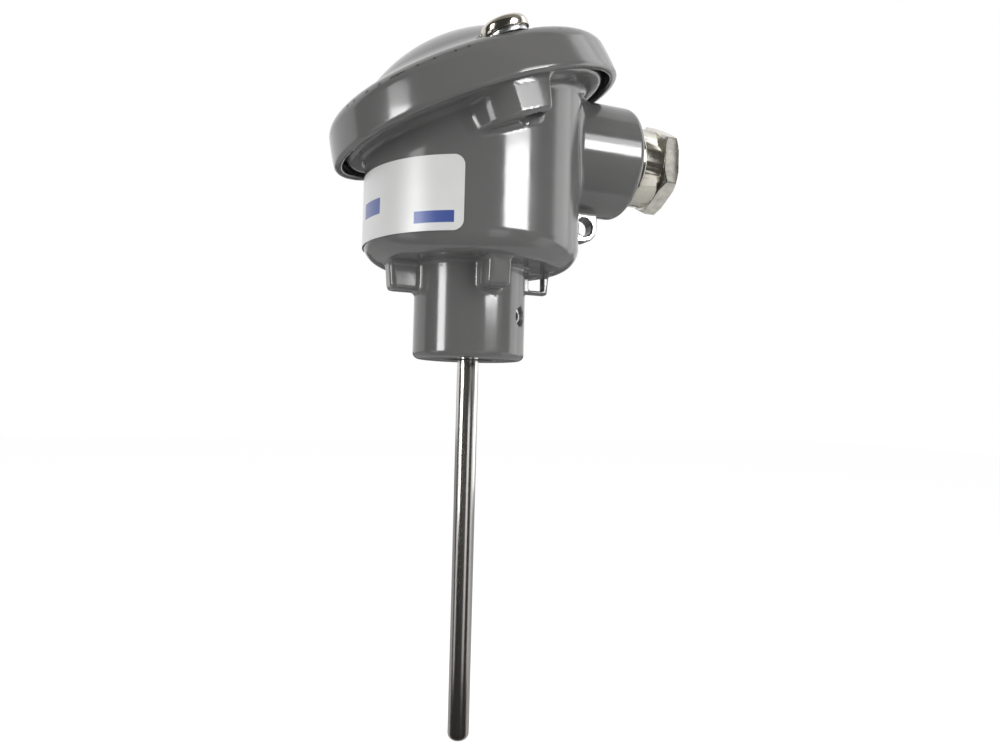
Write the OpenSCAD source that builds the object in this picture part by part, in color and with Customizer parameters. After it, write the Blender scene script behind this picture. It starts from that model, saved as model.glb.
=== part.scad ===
// Resistance thermometer with a cast connection head: tilted screwed cap,
// cable gland at the side, straight stem below. Millimetres, +Z up along the
// stem, origin at the centre of the neck's bottom face, +X towards the gland.

/* [Stem] */
// Length of the stem below the neck face
stem_len = 106; // [60:1:400]
// Outer diameter of the stem tube
stem_d = 6; // [5.5:0.1:6.5]
// Wall of the stem tube
stem_wall = 0.5; // [0.4:0.05:0.7]
// Diameter of the thicker sleeve where the bush holds the stem
sleeve_d = 8; // [7.6:0.1:9]
// Length of the sensing element at the tip
element_len = 25; // [10:1:40]
// Diameter of the sensing element
element_d = 3.8; // [3.4:0.1:4]
// Diameter of a lead wire
wire_d = 1; // [0.6:0.05:1.1]

/* [Neck] */
// Outer diameter of the neck
neck_d = 31.5; // [29:0.5:34]
// Height of the neck, up to the underside of the pot
neck_h = 26; // [24:0.5:32]
// Bore of the neck
neck_bore_d = 15.3; // [14:0.1:18]
// Rounding of the neck's lower edge
neck_edge_r = 1.8; // [0.5:0.1:3]
// Fillet between the neck and the pot's underside
neck_fillet_r = 1.2; // [0.5:0.1:2]
// Depth of the bush's lower end inside the neck
bush_recess = 4; // [2:0.5:6]
// Height of the grub screw above the neck face
grub_z = 12.1; // [9:0.1:16]
// Direction of the grub screw, degrees from +X
grub_azimuth = -45; // [-60:1:-30]
// Diameter of the grub screw
grub_d = 5; // [4:0.5:6]
// Depth of the grub screw's end below the neck's surface
grub_recess = 1.1; // [0:0.1:2]

/* [Lugs round the neck] */
// Reach of each lug out from the neck
lug_out = 8.5; // [8:0.1:10]
// Width of each solid lug
lug_w = 6.4; // [5:0.1:8]
// Thickness of the loop lug
loop_t = 2.6; // [2.4:0.1:5]
// Height of the solid lugs
lug_h = 7.8; // [5:0.1:9]
// Width of the window in the loop lug
window_w = 4.5; // [4.3:0.1:5]
// Height of the window in the loop lug
window_h = 4.8; // [4.3:0.1:5.5]
// Thickness of the bar below the window
window_bar = 1.2; // [0.8:0.1:2]
// Thickness of the bar outside the window
window_side = 2; // [1.2:0.1:2.5]

/* [Pot] */
// Outer diameter of the pot
pot_d = 61; // [58:0.5:66]
// Wall of the pot
pot_wall = 3; // [2.5:0.1:3.5]
// Thickness of the pot's floor
floor_t = 4; // [4:0.1:6]
// Outer rounding at the foot of the pot
pot_edge_r = 6; // [3:0.5:8]
// Height of the cap's rim plane on the stem axis
rim_z = 66; // [62:0.5:74]
// Tilt of the cap, lower on the side away from the gland
tilt = 21; // [10:1:25]
// Shift of the cap's centre up its slope, away from the stem axis
cap_shift = 0.7; // [0:0.1:1]
// Reach of the flange out from the pot
flange_out = 7.4; // [7:0.1:9]
// Thickness of the flange
flange_t = 4; // [3:0.1:5]
// Rounding of the flange's lower edge
flange_edge_r = 1.5; // [0.5:0.1:2]
// Radius of the fillet between pot and flange
flange_fillet_r = 1.8; // [1:0.1:3]

/* [Cap] */
// Gap between the flange and the cap's skirt
skirt_gap = 1.8; // [1:0.1:2.5]
// Draft of the skirt, from the rim to the shoulder
cap_draft = 0.8; // [0:0.1:1.2]
// Wall of the cap's skirt and dome
cap_wall = 2.3; // [1.8:0.1:2.8]
// Height of the cap's shoulder above its rim plane
cap_h = 12.2; // [11:0.1:15]
// Rounding of the shoulder
cap_shoulder_r = 3.8; // [2:0.1:5]
// Rounding of the rim
cap_rim_r = 1.1; // [0.5:0.1:1.1]
// Width of the flat ring and shoulder round the dome
dome_inset = 9.2; // [6:0.1:10]
// Rise of the dome above the shoulder
dome_rise = 13.5; // [8:0.5:18]
// Hollow rounding of the valley between dome and shoulder
valley_r = 5; // [3:0.5:6]
// Height of the flange face above the rim plane
seat_h = 4.5; // [4:0.1:5.5]
// Thickness of the gasket
gasket_t = 1.5; // [1:0.1:2]

/* [Cap screws] */
// Distance of each cap screw from the flange's edge
cap_screw_inset = 4.4; // [4:0.1:4.6]
// Thread diameter of the cap screws
cap_screw_d = 6; // [5:0.5:6]
// Diameter of the screw heads
cap_head_d = 12; // [10:0.5:12.5]
// Height of the screw heads
cap_head_h = 3; // [2.8:0.1:5]
// Length of the threaded end
cap_thread_len = 4.5; // [3:0.5:6]
// Thickness of the spring washers
spring_washer_t = 1.2; // [0.8:0.1:1.6]
// Reach of the screw lugs below the rim plane
screw_lug_drop = 8; // [6:0.5:10]
// Half width of the screw lugs at their foot
screw_lug_r = 7; // [5.5:0.1:7.5]

/* [Cable entry] */
// Depth of the gland's axis below the cap's rim plane on the stem axis
gland_drop = 3.6; // [3:0.1:8]
// Length of the boss out from the pot
boss_out = 17; // [15:0.5:24]
// Outer diameter of the boss
boss_d = 33.5; // [30:0.5:34]
// Rounding of the boss's end edge
boss_edge_r = 2.2; // [1:0.1:3]
// Thread diameter of the gland body
gland_thread_d = 20; // [18:0.5:22]
// Diameter of the gland's flange
gland_flange_d = 24.6; // [24:0.1:26]
// Diameter of the gland's barrel
gland_barrel_d = 23.8; // [23:0.1:24]
// Length of the gland body outside the boss, with its washer
gland_out_len = 9; // [7:0.5:12]
// Size of the nut across its flats
nut_af = 24; // [23.8:0.1:27]
// Thickness of the nut's hexagon
nut_t = 5; // [4:0.1:7]
// Bore of the rubber seal
seal_bore_d = 12; // [8:0.5:13]
// Bore through the nut and the gland body
cable_way_d = 14; // [13.5:0.1:14.5]
// Length of the rubber seal
seal_len = 7; // [5:0.5:8]

/* [Earth eyelet] */
// Distance of the eyelet's hole out from the pot
eyelet_out = 4.5; // [4.3:0.1:6.5]
// Distance of the eyelet's hole below the boss
eyelet_drop = 4.15; // [4:0.05:6]
// Diameter of the eyelet's hole
eyelet_hole_d = 5.2; // [4:0.1:5.4]
// Material round the eyelet's hole
eyelet_rim = 1.6; // [1.2:0.1:2.5]
// Thickness of the eyelet
eyelet_t = 4.5; // [3:0.1:6]

/* [Label] */
// Height of the label's lower edge above the pot's underside
label_lift = 4.2; // [4:0.1:8]
// Height of the label
label_h = 18.9; // [12:0.1:19]
// Width of the label, measured round the pot
label_w = 50; // [30:1:60]
// Direction of the label's right edge, degrees from +X
label_azimuth = -112.5; // [-125:0.5:-105]
// Rounding of the label's corners
label_corner_r = 2.8; // [1:0.1:4]
// Thickness of the label
label_t = 0.15; // [0.1:0.05:0.3]

/* [Terminals] */
// Gap between the terminal block and the pot's wall
block_gap = 7.5; // [7.2:0.1:8.5]
// Height of the terminal block
block_h = 11; // [8:0.5:13]
// Height of the pads that carry the terminal block
pad_h = 3; // [2:0.5:5]
// Distance of the terminal block's screws from its edge
block_screw_inset = 3.5; // [3.3:0.1:4]
// Diameter of the terminal block's screws
block_screw_d = 4; // [3:0.5:4]
// Distance of the terminals in from the block's edge
terminal_inset = 8; // [7.5:0.1:9]
// Distance of the terminals from the plane through the stem and the gland
terminal_y = 7; // [6:0.1:8]
// Thread diameter of the terminal screws
terminal_screw_d = 3; // [2.5:0.5:3.5]
// Thread diameter of the inner earth screw
earth_screw_d = 3.5; // [3:0.5:3.5]

/* [Fits] */
// Radial clearance of threads and turning parts
turn_gap = 0.05; // [0.03:0.01:0.08]
// Radial clearance of a screw through a plain hole
hole_gap = 0.3; // [0.2:0.05:0.4]
// Gap between faces that part when a piece moves
face_gap = 0.03; // [0.02:0.01:0.05]

/* [Hidden] */
$fn = 96;
eps = 0.01;
far = 200;

paint = [0.42, 0.42, 0.42];
nickel = [0.78, 0.76, 0.70];
steel = [0.62, 0.62, 0.62];
brass = [0.78, 0.62, 0.30];
ceramic = [0.93, 0.91, 0.86];
rubber = [0.10, 0.10, 0.10];
foil = [0.86, 0.87, 0.85];

stem_r = stem_d/2;
sleeve_r = sleeve_d/2;
stem_bore_r = stem_r - stem_wall;
stem_tip_r = 2;
wire_r = wire_d/2;
wire_pitch = stem_bore_r*0.37;
neck_r = neck_d/2;
neck_bore_r = neck_bore_d/2;
pot_r = pot_d/2;
cavity_r = pot_r - pot_wall;
floor_z = neck_h + floor_t;
cavity_edge_r = 3;
grub_len = neck_r - neck_bore_r - face_gap - grub_recess;
lug_reach = neck_r + lug_out;
label_z = neck_h + label_lift;
flange_r = pot_r + flange_out;
flange_foot_h = seat_h - flange_t;
cap_r = flange_r + skirt_gap + cap_wall;
cap_top_r = cap_r - cap_draft;
dome_r = cap_top_r - dome_inset;
dome_sphere_r = (dome_r*dome_r + dome_rise*dome_rise)/(2*dome_rise);
skirt_bore_r = cap_r - cap_wall;
cap_seat_h = seat_h + face_gap + gasket_t;
cap_roof_h = cap_h - cap_wall;
dome_mid_h = cap_h + dome_rise - dome_sphere_r;
valley_mid_h = cap_h + valley_r;
valley_mid_r = sqrt(pow(dome_sphere_r + valley_r, 2) - pow(valley_mid_h - dome_mid_h, 2));
dome_share = dome_sphere_r/(dome_sphere_r + valley_r);
land_step = 2.6;
land_w = 4.9;
land_r = cavity_r + land_step + land_w;
groove_step = 0.6;
cap_boss_w = 2.4;
spot_rise = -0.6;
spot_gap = 0.6;
spot_h = cap_h + spot_rise;
spot_r = cap_head_d/2 + spot_gap;
cap_screw_y = flange_r - cap_screw_inset;
cap_screw_r = cap_screw_d/2;
thread_depth = 0.7;
cap_waist_r = cap_screw_r - thread_depth;
cap_screw_sink = 1;
cap_screw_foot_h = cap_screw_sink - screw_lug_drop;
cap_slot_w = 1.6;
cap_slot_depth = 1.8;
cap_head_edge_r = 1.8;
screw_lug_draft = 0.6;
screw_lug_root = 4;
washer_inset = 0.6;
washer_split = 1;
gasket_inset = 1;
gasket_mouth_gap = 0.5;
collar_w = 2.4;
collar_r = neck_bore_r + collar_w;
collar_t = 2;
collar_sink = 0.2;
bush_r = neck_bore_r - turn_gap;
sleeve_lead = 1;
sleeve_z = bush_recess - sleeve_lead;
sleeve_sink = 2;
sleeve_top_z = floor_z - sleeve_sink;
grub_r = grub_d/2;
socket_ratio = 0.52;
socket_depth = 2.5;
boss_r = boss_d/2;
boss_end = pot_r + boss_out;
gland_z = rim_z - gland_drop;
boss_thread_len = 12;
gland_thread_r = gland_thread_d/2;
gland_washer_t = 0.8;
gland_flange_t = 2;
barrel_r = gland_barrel_d/2;
gland_wall = 1.1;
gland_edge_r = 0.6;
gland_inset = 0.8;
tail_gap = 1;
boss_step = 1.2;
chamber_r = gland_thread_r - gland_wall;
chamber_foot = -8.5;
seal_gap = 0.1;
nut_mouth = 0.8;
cable_way_r = cable_way_d/2;
seal_bore_r = seal_bore_d/2;
thrust_ring_t = 1.2;
seal_start = chamber_foot + face_gap;
thrust_start = seal_start + seal_len + face_gap;
spigot_start = thrust_start + thrust_ring_t + face_gap;
block_z = floor_z + pad_h;
block_top_z = block_z + block_h;
block_r = cavity_r - block_gap;
terminal_x = block_r - terminal_inset;
block_screw_y = block_r - block_screw_inset;
block_screw_r = block_screw_d/2;
pad_w = 2.2;
pad_r = block_screw_r + pad_w;
head_ratio = 1.85;
slot_w = 0.8;
block_screw_bite = 1.5;
block_head_h = 2.6;
block_head_sink = 4;
plate_t = 1.5;
plate_w = 8;
barrier_l = 11;
barrier_t = 1.8;
barrier_h = 2.2;
plate_top_z = block_top_z + plate_t;
wire_z = plate_top_z + wire_r;
wire_lift = 0.2;
clamp_z = plate_top_z + wire_d + wire_lift;
clamp_t = 1;
clamp_r = 3.3;
terminal_screw_r = terminal_screw_d/2;
terminal_head_h = 2.2;
terminal_depth = 6;
barrel_w = 1.55;
clamp_gap = 0.15;
wire_way_gap = 1.2;
earth_screw_r = earth_screw_d/2;
earth_rim = 0.1;
earth_gap = 0.3;
earth_clamp_t = 1;
earth_pad_r = earth_screw_r*head_ratio + earth_rim;
earth_pad_h = 4;
earth_azimuth = 150;
earth_reach = cavity_r - earth_pad_r - earth_gap;
eyelet_x = pot_r + eyelet_out;
eyelet_z = gland_z - boss_r - eyelet_drop;
eyelet_reach = eyelet_x + eyelet_hole_d/2 + eyelet_rim;
eyelet_foot_extra = 0.3;
eyelet_foot_z = eyelet_z - eyelet_hole_d/2 - eyelet_rim - eyelet_foot_extra;
label_angle = label_w/pot_r*180/PI;
tip_fill = 1;
element_z = stem_tip_r + tip_fill + stem_wall - stem_len;
rod_gap = 0.5;
rod_z = element_z + element_len + rod_gap;
terminal_signs = [[1, 1], [-1, 1], [-1, -1], [1, -1]];

// A rectangle in a half section, from one corner to the other
module bar(r0, z0, r1, z1) {
    translate([r0, z0]) square([r1 - r0, z1 - z0]);
}

// A ring or tube along +Z
module ring(r_out, r_in, z0, z1) {
    translate([0, 0, z0]) difference() {
        cylinder(r = r_out, h = z1 - z0);
        translate([0, 0, -1]) cylinder(r = r_in, h = z1 - z0 + 2);
    }
}

// A straight round bar along +Z
module rod(r, z0, z1) {
    translate([0, 0, z0]) cylinder(r = r, h = z1 - z0);
}

// The cap's own frame: origin in the middle of its rim plane, +Z square to that plane
module on_cap() {
    translate([0, 0, rim_z]) rotate([0, -tilt, 0]) translate([cap_shift, 0, 0]) children();
}

// One cap screw's axis; side is -1 at the front and 1 at the back
module on_cap_screw(side) {
    on_cap() translate([0, side*cap_screw_y, 0]) children();
}

// The gland's frame: origin at the boss's end face, +Z outwards along the cable
module on_gland() {
    translate([boss_end, 0, gland_z]) rotate([0, 90, 0]) children();
}

// One terminal's axis, with +Z up from the block's top face
module on_terminal(i) {
    translate([terminal_signs[i].x*terminal_x, terminal_signs[i].y*terminal_y, 0]) children();
}

module on_earth_pad() {
    rotate([0, 0, earth_azimuth]) translate([earth_reach, 0, 0]) children();
}

// Neck and pot as one turned form, taller than needed and cut off by the flange face
module pot_outside() {
    difference() {
        rotate_extrude() {
            bar(0, 0, neck_r - neck_edge_r, neck_h);
            bar(0, neck_edge_r, neck_r, neck_h + eps);
            difference() {
                bar(0, neck_h - neck_fillet_r, neck_r + neck_fillet_r, neck_h + eps);
                translate([neck_r + neck_fillet_r, neck_h - neck_fillet_r]) circle(r = neck_fillet_r);
            }
            translate([neck_r - neck_edge_r, neck_edge_r]) intersection() {
                circle(r = neck_edge_r);
                bar(0, -neck_edge_r, neck_edge_r, 0);
            }
            bar(0, neck_h, pot_r - pot_edge_r, floor_z + pot_edge_r);
            bar(0, neck_h + pot_edge_r, pot_r, rim_z + pot_r);
            translate([pot_r - pot_edge_r, neck_h + pot_edge_r]) intersection() {
                circle(r = pot_edge_r);
                bar(0, -pot_edge_r, pot_edge_r, 0);
            }
        }
        on_cap() translate([-far/2, -far/2, seat_h]) cube([far, far, far]);
    }
}

module pot_inside() {
    rotate_extrude() {
        bar(0, floor_z, cavity_r - cavity_edge_r, floor_z + cavity_edge_r);
        bar(0, floor_z + cavity_edge_r, cavity_r, rim_z + pot_r + 1);
        translate([cavity_r - cavity_edge_r, floor_z + cavity_edge_r]) intersection() {
            circle(r = cavity_edge_r);
            bar(0, -cavity_edge_r, cavity_edge_r, 0);
        }
    }
}

// The round flange that the cap sits over, with its fillet down to the pot
module flange() {
    on_cap() rotate_extrude() {
        bar(0, flange_foot_h, flange_r - flange_edge_r, seat_h);
        bar(0, flange_foot_h + flange_edge_r, flange_r, seat_h);
        translate([flange_r - flange_edge_r, flange_foot_h + flange_edge_r]) intersection() {
            circle(r = flange_edge_r);
            bar(0, -flange_edge_r, flange_edge_r, 0);
        }
        difference() {
            bar(0, flange_foot_h - flange_fillet_r, pot_r + flange_fillet_r, flange_foot_h + eps);
            translate([pot_r + flange_fillet_r, flange_foot_h - flange_fillet_r])
                circle(r = flange_fillet_r);
        }
    }
}

// The lugs under the flange that take the cap screws, faced off flush with the flange
module screw_lug(side) {
    on_cap() intersection() {
        union() {
            translate([0, side*cap_screw_y, -screw_lug_drop])
                cylinder(r1 = screw_lug_r, r2 = screw_lug_r + screw_lug_draft, h = screw_lug_drop + seat_h);
            translate([-screw_lug_r, side > 0 ? cavity_r - screw_lug_root : -cap_screw_y, -screw_lug_drop])
                cube([2*screw_lug_r, cap_screw_y - cavity_r + screw_lug_root, screw_lug_drop + seat_h]);
        }
        rod(flange_r, -screw_lug_drop, seat_h);
    }
}

module boss() {
    on_gland() rotate_extrude() {
        bar(0, cavity_r - boss_end - 6, boss_r, -boss_edge_r);
        bar(0, -boss_edge_r - eps, boss_r - boss_edge_r, 0);
        translate([boss_r - boss_edge_r, -boss_edge_r]) intersection() {
            circle(r = boss_edge_r);
            bar(0, 0, boss_edge_r, boss_edge_r);
        }
    }
}

// A lug of width w under the pot, beside the neck, pointing along +X
module neck_lug(h, w) {
    corner_r = 1.2;
    root_r = neck_bore_r + 3;
    translate([root_r, -w/2, neck_h - h]) cube([lug_reach - root_r - corner_r, w, h + 1]);
    translate([lug_reach - corner_r - eps, corner_r - w/2, neck_h - h])
        cube([corner_r + eps, w - 2*corner_r, h + 1]);
    for (side = [-1, 1]) {
        translate([lug_reach - corner_r, side*(w/2 - corner_r), neck_h - h])
            cylinder(r = corner_r, h = h + 1);
    }
}

module lug_window() {
    translate([lug_reach - window_side - window_w, -lug_w, neck_h - window_h])
        cube([window_w, 2*lug_w, window_h]);
}

// The eyelet in the corner between pot and boss
module eyelet() {
    corner_r = eyelet_hole_d/2 + eyelet_rim;
    rotate([90, 0, 0]) translate([0, 0, -eyelet_t/2]) linear_extrude(eyelet_t) difference() {
        union() {
            bar(cavity_r + 1, eyelet_foot_z, eyelet_reach - corner_r, gland_z);
            bar(cavity_r + 1, eyelet_foot_z + corner_r, eyelet_reach, gland_z - boss_r + 2);
            translate([eyelet_reach - corner_r, eyelet_foot_z + corner_r]) circle(r = corner_r);
        }
        translate([eyelet_x, eyelet_z]) circle(r = eyelet_hole_d/2);
    }
}

module head_body() color(paint) difference() {
    union() {
        difference() {
            union() {
                pot_outside();
                flange();
                screw_lug(-1);
                screw_lug(1);
                boss();
            }
            pot_inside();
        }
        eyelet();
        for (azimuth = [90, 180, 270]) {
            rotate([0, 0, azimuth]) neck_lug(lug_h, lug_w);
        }
        neck_lug(window_h + window_bar, loop_t);
        for (side = [-1, 1]) {
            translate([0, side*block_screw_y, 0]) rod(pad_r, floor_z - 1, block_z);
        }
        on_earth_pad() rod(earth_pad_r, floor_z - 1, floor_z + earth_pad_h);
    }
    lug_window();
    rod(neck_bore_r, -1, floor_z + 1);
    rod(collar_r + turn_gap, floor_z - collar_t, floor_z + 1);
    for (side = [-1, 1]) {
        translate([0, side*block_screw_y, 0])
            rod(block_screw_r + turn_gap, floor_z - 2, block_z + 1);
        on_cap_screw(side) rod(cap_screw_r + turn_gap, -screw_lug_drop - 1, seat_h + 1);
    }
    on_earth_pad() rod(earth_screw_r + turn_gap, floor_z - 2, floor_z + earth_pad_h + 1);
    rotate([0, 0, grub_azimuth]) translate([0, 0, grub_z]) rotate([0, 90, 0])
        rod(grub_r + turn_gap, neck_bore_r - 2, neck_r + 2);
    on_gland() {
        rod(gland_thread_r + turn_gap, -boss_thread_len, 1);
        rod(gland_thread_r - boss_step, cavity_r - boss_end - 5, 0);
    }
}

// The cap's outer form: skirt, rounded shoulder, flat ring and dome
module cap_outside() {
    rotate_extrude() {
        polygon([[0, cap_rim_r], [cap_r, cap_rim_r], [cap_top_r, cap_h - cap_shoulder_r],
                 [cap_top_r - cap_shoulder_r, cap_h - cap_shoulder_r],
                 [cap_top_r - cap_shoulder_r, cap_h], [0, cap_h]]);
        bar(0, 0, cap_r - cap_rim_r, cap_rim_r + eps);
        translate([cap_r - cap_rim_r, cap_rim_r]) intersection() {
            circle(r = cap_rim_r);
            bar(0, -cap_rim_r, cap_rim_r, 0);
        }
        translate([cap_top_r - cap_shoulder_r, cap_h - cap_shoulder_r]) intersection() {
            circle(r = cap_shoulder_r);
            bar(0, 0, cap_shoulder_r, cap_shoulder_r);
        }
        intersection() {
            translate([0, dome_mid_h]) circle(r = dome_sphere_r);
            bar(0, cap_h - eps, dome_r, cap_h + dome_rise + 1);
        }
        difference() {
            polygon([[valley_mid_r*dome_share - 1, cap_h - eps], [valley_mid_r, cap_h - eps],
                     [valley_mid_r, valley_mid_h],
                     [valley_mid_r*dome_share, dome_mid_h + (valley_mid_h - dome_mid_h)*dome_share]]);
            translate([valley_mid_r, valley_mid_h]) circle(r = valley_r*1.004);
        }
    }
}

// The cap's hollow: open skirt, groove outside the sealing land, and the dome's inside
module cap_inside() {
    rotate_extrude() {
        bar(0, -1, skirt_bore_r, cap_seat_h);
        bar(land_r, cap_seat_h - eps, skirt_bore_r - groove_step, cap_roof_h);
        bar(0, cap_seat_h - eps, land_r - land_w, cap_roof_h);
        intersection() {
            translate([0, dome_mid_h]) circle(r = dome_sphere_r - cap_wall);
            bar(0, cap_roof_h - eps, dome_r, cap_h + dome_rise);
        }
    }
}

module head_cap() color(paint) on_cap() difference() {
    union() {
        difference() {
            cap_outside();
            cap_inside();
        }
        for (side = [-1, 1]) {
            translate([0, side*cap_screw_y, 0]) rod(cap_screw_r + cap_boss_w, cap_seat_h, cap_roof_h + 1);
            intersection() {
                translate([0, side*cap_screw_y, 0]) rod(spot_r + cap_wall, cap_roof_h, cap_h + dome_rise);
                cap_outside();
            }
        }
    }
    for (side = [-1, 1]) {
        translate([0, side*cap_screw_y, 0]) {
            rod(cap_waist_r + hole_gap, 0, cap_h + dome_rise);
            rod(spot_r, spot_h, cap_h + dome_rise);
        }
    }
}

// A flat ring that covers the flange face, open over the pot and at the screws
module cap_gasket() color(rubber) difference() {
    on_cap() ring(flange_r - gasket_inset, gasket_inset, seat_h + face_gap, cap_seat_h);
    rod(cavity_r + gasket_mouth_gap, floor_z, far);
    for (side = [-1, 1]) {
        on_cap_screw(side) rod(cap_screw_r + hole_gap, 0, cap_h);
    }
}

// A captive screw: thin waist through the cap, thread at its end, slotted raised head
module cap_screw(side) {
    head_h = spot_h + face_gap + spring_washer_t + face_gap;
    edge_r = cap_head_edge_r;
    on_cap_screw(side) difference() {
        union() {
            rod(cap_waist_r, cap_screw_foot_h, head_h + 1);
            rod(cap_screw_r, cap_screw_foot_h, cap_screw_foot_h + cap_thread_len);
            rotate_extrude() {
                bar(0, head_h, cap_head_d/2, head_h + cap_head_h - edge_r);
                bar(0, head_h, cap_head_d/2 - edge_r, head_h + cap_head_h);
                translate([cap_head_d/2 - edge_r, head_h + cap_head_h - edge_r]) intersection() {
                    circle(r = edge_r);
                    bar(0, 0, edge_r, edge_r);
                }
            }
        }
        translate([-cap_slot_w/2, -cap_head_d, head_h + cap_head_h - cap_slot_depth])
            cube([cap_slot_w, 2*cap_head_d, cap_slot_depth + 1]);
    }
}

module cap_screw_front() color(nickel) cap_screw(-1);
module cap_screw_back() color(nickel) cap_screw(1);

// A split spring washer under a cap screw's head
module cap_washer(side) {
    on_cap_screw(side) difference() {
        ring(cap_head_d/2 - washer_inset, cap_waist_r + 2*hole_gap,
             spot_h + face_gap, spot_h + face_gap + spring_washer_t);
        translate([0, -washer_split/2, spot_h]) cube([cap_head_d, washer_split, spring_washer_t + 1]);
    }
}

module cap_washer_front() color(steel) cap_washer(-1);
module cap_washer_back() color(steel) cap_washer(1);

module gland_washer() color(rubber) on_gland()
    ring(gland_flange_d/2 - gland_inset, gland_thread_r + turn_gap, 0, gland_washer_t);

// Threaded tail in the boss, flange, and the barrel that the nut screws into
module gland_body() color(nickel) on_gland() difference() {
    union() {
        rod(gland_thread_r, -boss_thread_len + tail_gap, gland_washer_t + eps);
        rotate_extrude() {
            bar(0, gland_washer_t, gland_flange_d/2, gland_washer_t + gland_flange_t - gland_edge_r);
            bar(0, gland_washer_t, gland_flange_d/2 - gland_edge_r, gland_washer_t + gland_flange_t);
            translate([gland_flange_d/2 - gland_edge_r, gland_washer_t + gland_flange_t - gland_edge_r])
                circle(r = gland_edge_r);
        }
        rod(barrel_r, gland_washer_t + gland_flange_t/2, gland_out_len);
    }
    rod(cable_way_r, -boss_thread_len, 0);
    rod(chamber_r, chamber_foot, gland_out_len + 1);
}

module gland_seal() color(rubber) on_gland()
    ring(chamber_r - seal_gap, seal_bore_r, seal_start, seal_start + seal_len);

module gland_thrust_ring() color(brass) on_gland()
    ring(chamber_r - turn_gap, cable_way_r, thrust_start, thrust_start + thrust_ring_t);

// Hollow screw with a hexagon, chamfered at both ends of the hexagon
module gland_nut() color(nickel) on_gland() {
    foot = gland_out_len + face_gap;
    corner_r = nut_af/2/cos(30);
    slack = 0.4;
    chamfer = (corner_r - nut_af/2)*0.6;
    difference() {
        union() {
            rod(chamber_r - turn_gap, spigot_start, foot + 1);
            intersection() {
                translate([0, 0, foot]) cylinder(r = corner_r, h = nut_t, $fn = 6);
                translate([0, 0, foot]) union() {
                    cylinder(r1 = nut_af/2 + slack, r2 = corner_r + slack, h = chamfer);
                    rod(corner_r + slack, chamfer - eps, nut_t - chamfer + eps);
                    translate([0, 0, nut_t - chamfer])
                        cylinder(r1 = corner_r + slack, r2 = nut_af/2 + slack, h = chamfer);
                }
            }
        }
        rod(cable_way_r, spigot_start - 1, foot + nut_t + 1);
        translate([0, 0, foot + nut_t - nut_mouth])
            cylinder(r1 = cable_way_r, r2 = cable_way_r + nut_mouth, h = nut_mouth + eps);
    }
}

// One rounded corner to take off the label, for a radial cut at the given direction
module label_corner(azimuth, z, turn) {
    rotate([0, 0, azimuth]) translate([pot_r, 0, z]) rotate([turn, 0, 0]) rotate([0, 90, 0])
        translate([0, 0, -1]) linear_extrude(3) difference() {
            bar(-label_corner_r, -label_corner_r, 1, 1);
            translate([-label_corner_r, -label_corner_r]) circle(r = label_corner_r*1.01);
        }
}

module label() color(foil) difference() {
    rotate([0, 0, label_azimuth - label_angle]) rotate_extrude(angle = label_angle)
        bar(pot_r, label_z, pot_r + label_t, label_z + label_h);
    label_corner(label_azimuth, label_z, 0);
    label_corner(label_azimuth, label_z + label_h, 90);
    label_corner(label_azimuth - label_angle, label_z + label_h, 180);
    label_corner(label_azimuth - label_angle, label_z, 270);
}

// Reducing bush between the neck's bore and the stem's sleeve, with a collar inside the pot
module neck_bush() color(brass) difference() {
    union() {
        rod(bush_r, bush_recess, floor_z - collar_sink);
        rod(collar_r, floor_z - collar_t, floor_z - collar_sink);
    }
    rod(sleeve_r + turn_gap, 0, floor_z + 1);
}

module grub_screw() color(steel)
    rotate([0, 0, grub_azimuth]) translate([0, 0, grub_z]) rotate([0, 90, 0])
        translate([0, 0, neck_bore_r + face_gap]) difference() {
            rod(grub_r, 0, grub_len);
            translate([0, 0, grub_len - socket_depth])
                cylinder(d = grub_d*socket_ratio, h = socket_depth + 1, $fn = 6);
        }

// Closed-end tube, thickened to a sleeve where the bush holds it
module stem_sheath() color(steel) difference() {
    union() {
        rotate_extrude() {
            bar(0, stem_tip_r - stem_len, stem_r, sleeve_z + eps);
            bar(0, -stem_len, stem_r - stem_tip_r, stem_tip_r + 1 - stem_len);
            translate([stem_r - stem_tip_r, stem_tip_r - stem_len]) intersection() {
                circle(r = stem_tip_r);
                bar(0, -stem_tip_r, stem_tip_r, 0);
            }
            bar(0, sleeve_z, sleeve_r, sleeve_top_z);
        }
    }
    rod(stem_bore_r, stem_tip_r + stem_wall - stem_len, sleeve_top_z + 1);
}

// The places of the four wires, in the insulator and in the block
function wire_spot(i) = [for (s = terminal_signs[i]) s*wire_pitch];

module insulator_rod() color(ceramic) difference() {
    rod(stem_bore_r - turn_gap, rod_z, sleeve_top_z);
    for (i = [0:3]) {
        translate(wire_spot(i)) rod(wire_r + turn_gap, rod_z - 1, sleeve_top_z + 1);
    }
}

module sensing_element() color(ceramic) rod(element_d/2, element_z, element_z + element_len);

// One lead wire: up through the stem and block, then over to its terminal, beside the screw
module lead_wire(i) {
    bend_r = 3;
    lap = 0.2;
    bend_swell = 0.03;
    start = wire_spot(i);
    beside = terminal_screw_r + wire_r + hole_gap;
    target = [terminal_signs[i].x*(terminal_x + clamp_r*0.6), terminal_signs[i].y*(terminal_y - beside)];
    reach = norm(target - start);
    translate([start.x, start.y, 0]) {
        rod(wire_r, rod_z - rod_gap, wire_z - bend_r + lap);
        rotate([0, 0, atan2(target.y - start.y, target.x - start.x)]) {
            translate([bend_r, 0, wire_z - bend_r]) rotate([90, 0, 180]) rotate_extrude(angle = 90)
                translate([bend_r, 0]) circle(r = wire_r + bend_swell);
            translate([0, 0, wire_z]) rotate([0, 90, 0]) rod(wire_r, bend_r - lap, reach);
        }
    }
}

module lead_wires_red() color("firebrick") {
    lead_wire(0);
    lead_wire(1);
}

module lead_wires_white() color("whitesmoke") {
    lead_wire(2);
    lead_wire(3);
}

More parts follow.
